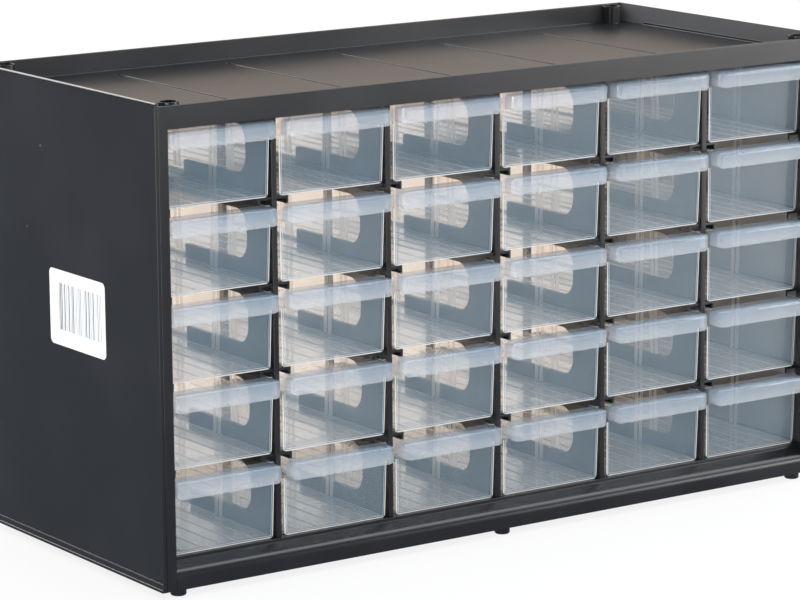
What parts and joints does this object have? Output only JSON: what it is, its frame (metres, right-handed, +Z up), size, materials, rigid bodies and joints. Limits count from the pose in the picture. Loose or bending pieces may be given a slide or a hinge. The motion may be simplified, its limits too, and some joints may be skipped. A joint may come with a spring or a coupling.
{
  "type": "parts bin cabinet",
  "caption": "Tabletop parts cabinet: dark moulded case with a tray top, stacking feet and a grid of clear pull-out drawers running on ribs of windowed partitions.",
  "frame": {"origin": "under the middle of the case, at the level of the feet", "axes": "+X along the width, the drawers open towards -Y, +Z up"},
  "size_m": [0.3668, 0.1544, 0.215],
  "materials": {
    "case": "satin injection-moulded polystyrene, near black",
    "drawer": "translucent natural polypropylene, slightly milky and bluish"
  },
  "bodies": {
    "cabinet": {"front_frame_and_tray": "case", "base": "case", "side_panel_left": "case", "side_panel_right": "case", "rear_frame": "case", "partition_1": "case", "partition_2": "case", "partition_3": "case", "partition_4": "case", "partition_5": "case"},
    "drawer_r1_c1": {"drawer_r1_c1": "drawer"},
    "drawer_r1_c2": {"drawer_r1_c2": "drawer"},
    "drawer_r1_c3": {"drawer_r1_c3": "drawer"},
    "drawer_r1_c4": {"drawer_r1_c4": "drawer"},
    "drawer_r1_c5": {"drawer_r1_c5": "drawer"},
    "drawer_r1_c6": {"drawer_r1_c6": "drawer"},
    "drawer_r2_c1": {"drawer_r2_c1": "drawer"},
    "drawer_r2_c2": {"drawer_r2_c2": "drawer"},
    "drawer_r2_c3": {"drawer_r2_c3": "drawer"},
    "drawer_r2_c4": {"drawer_r2_c4": "drawer"},
    "drawer_r2_c5": {"drawer_r2_c5": "drawer"},
    "drawer_r2_c6": {"drawer_r2_c6": "drawer"},
    "drawer_r3_c1": {"drawer_r3_c1": "drawer"},
    "drawer_r3_c2": {"drawer_r3_c2": "drawer"},
    "drawer_r3_c3": {"drawer_r3_c3": "drawer"},
    "drawer_r3_c4": {"drawer_r3_c4": "drawer"},
    "drawer_r3_c5": {"drawer_r3_c5": "drawer"},
    "drawer_r3_c6": {"drawer_r3_c6": "drawer"},
    "drawer_r4_c1": {"drawer_r4_c1": "drawer"},
    "drawer_r4_c2": {"drawer_r4_c2": "drawer"},
    "drawer_r4_c3": {"drawer_r4_c3": "drawer"},
    "drawer_r4_c4": {"drawer_r4_c4": "drawer"},
    "drawer_r4_c5": {"drawer_r4_c5": "drawer"},
    "drawer_r4_c6": {"drawer_r4_c6": "drawer"},
    "drawer_r5_c1": {"drawer_r5_c1": "drawer"},
    "drawer_r5_c2": {"drawer_r5_c2": "drawer"},
    "drawer_r5_c3": {"drawer_r5_c3": "drawer"},
    "drawer_r5_c4": {"drawer_r5_c4": "drawer"},
    "drawer_r5_c5": {"drawer_r5_c5": "drawer"},
    "drawer_r5_c6": {"drawer_r5_c6": "drawer"}
  },
  "joints": [
    {"name": "slide_r1_c1", "type": "slide", "parent": "cabinet", "child": "drawer_r1_c1", "axis": [0, -1, 0], "range_m": [0, 0.145]},
    {"name": "slide_r1_c2", "type": "slide", "parent": "cabinet", "child": "drawer_r1_c2", "axis": [0, -1, 0], "range_m": [0, 0.145]},
    {"name": "slide_r1_c3", "type": "slide", "parent": "cabinet", "child": "drawer_r1_c3", "axis": [0, -1, 0], "range_m": [0, 0.145]},
    {"name": "slide_r1_c4", "type": "slide", "parent": "cabinet", "child": "drawer_r1_c4", "axis": [0, -1, 0], "range_m": [0, 0.145]},
    {"name": "slide_r1_c5", "type": "slide", "parent": "cabinet", "child": "drawer_r1_c5", "axis": [0, -1, 0], "range_m": [0, 0.145]},
    {"name": "slide_r1_c6", "type": "slide", "parent": "cabinet", "child": "drawer_r1_c6", "axis": [0, -1, 0], "range_m": [0, 0.145]},
    {"name": "slide_r2_c1", "type": "slide", "parent": "cabinet", "child": "drawer_r2_c1", "axis": [0, -1, 0], "range_m": [0, 0.145]},
    {"name": "slide_r2_c2", "type": "slide", "parent": "cabinet", "child": "drawer_r2_c2", "axis": [0, -1, 0], "range_m": [0, 0.145]},
    {"name": "slide_r2_c3", "type": "slide", "parent": "cabinet", "child": "drawer_r2_c3", "axis": [0, -1, 0], "range_m": [0, 0.145]},
    {"name": "slide_r2_c4", "type": "slide", "parent": "cabinet", "child": "drawer_r2_c4", "axis": [0, -1, 0], "range_m": [0, 0.145]},
    {"name": "slide_r2_c5", "type": "slide", "parent": "cabinet", "child": "drawer_r2_c5", "axis": [0, -1, 0], "range_m": [0, 0.145]},
    {"name": "slide_r2_c6", "type": "slide", "parent": "cabinet", "child": "drawer_r2_c6", "axis": [0, -1, 0], "range_m": [0, 0.145]},
    {"name": "slide_r3_c1", "type": "slide", "parent": "cabinet", "child": "drawer_r3_c1", "axis": [0, -1, 0], "range_m": [0, 0.145]},
    {"name": "slide_r3_c2", "type": "slide", "parent": "cabinet", "child": "drawer_r3_c2", "axis": [0, -1, 0], "range_m": [0, 0.145]},
    {"name": "slide_r3_c3", "type": "slide", "parent": "cabinet", "child": "drawer_r3_c3", "axis": [0, -1, 0], "range_m": [0, 0.145]},
    {"name": "slide_r3_c4", "type": "slide", "parent": "cabinet", "child": "drawer_r3_c4", "axis": [0, -1, 0], "range_m": [0, 0.145]},
    {"name": "slide_r3_c5", "type": "slide", "parent": "cabinet", "child": "drawer_r3_c5", "axis": [0, -1, 0], "range_m": [0, 0.145]},
    {"name": "slide_r3_c6", "type": "slide", "parent": "cabinet", "child": "drawer_r3_c6", "axis": [0, -1, 0], "range_m": [0, 0.145]},
    {"name": "slide_r4_c1", "type": "slide", "parent": "cabinet", "child": "drawer_r4_c1", "axis": [0, -1, 0], "range_m": [0, 0.145]},
    {"name": "slide_r4_c2", "type": "slide", "parent": "cabinet", "child": "drawer_r4_c2", "axis": [0, -1, 0], "range_m": [0, 0.145]},
    {"name": "slide_r4_c3", "type": "slide", "parent": "cabinet", "child": "drawer_r4_c3", "axis": [0, -1, 0], "range_m": [0, 0.145]},
    {"name": "slide_r4_c4", "type": "slide", "parent": "cabinet", "child": "drawer_r4_c4", "axis": [0, -1, 0], "range_m": [0, 0.145]},
    {"name": "slide_r4_c5", "type": "slide", "parent": "cabinet", "child": "drawer_r4_c5", "axis": [0, -1, 0], "range_m": [0, 0.145]},
    {"name": "slide_r4_c6", "type": "slide", "parent": "cabinet", "child": "drawer_r4_c6", "axis": [0, -1, 0], "range_m": [0, 0.145]},
    {"name": "slide_r5_c1", "type": "slide", "parent": "cabinet", "child": "drawer_r5_c1", "axis": [0, -1, 0], "range_m": [0, 0.145]},
    {"name": "slide_r5_c2", "type": "slide", "parent": "cabinet", "child": "drawer_r5_c2", "axis": [0, -1, 0], "range_m": [0, 0.145]},
    {"name": "slide_r5_c3", "type": "slide", "parent": "cabinet", "child": "drawer_r5_c3", "axis": [0, -1, 0], "range_m": [0, 0.145]},
    {"name": "slide_r5_c4", "type": "slide", "parent": "cabinet", "child": "drawer_r5_c4", "axis": [0, -1, 0], "range_m": [0, 0.145]},
    {"name": "slide_r5_c5", "type": "slide", "parent": "cabinet", "child": "drawer_r5_c5", "axis": [0, -1, 0], "range_m": [0, 0.145]},
    {"name": "slide_r5_c6", "type": "slide", "parent": "cabinet", "child": "drawer_r5_c6", "axis": [0, -1, 0], "range_m": [0, 0.145]}
  ]
}
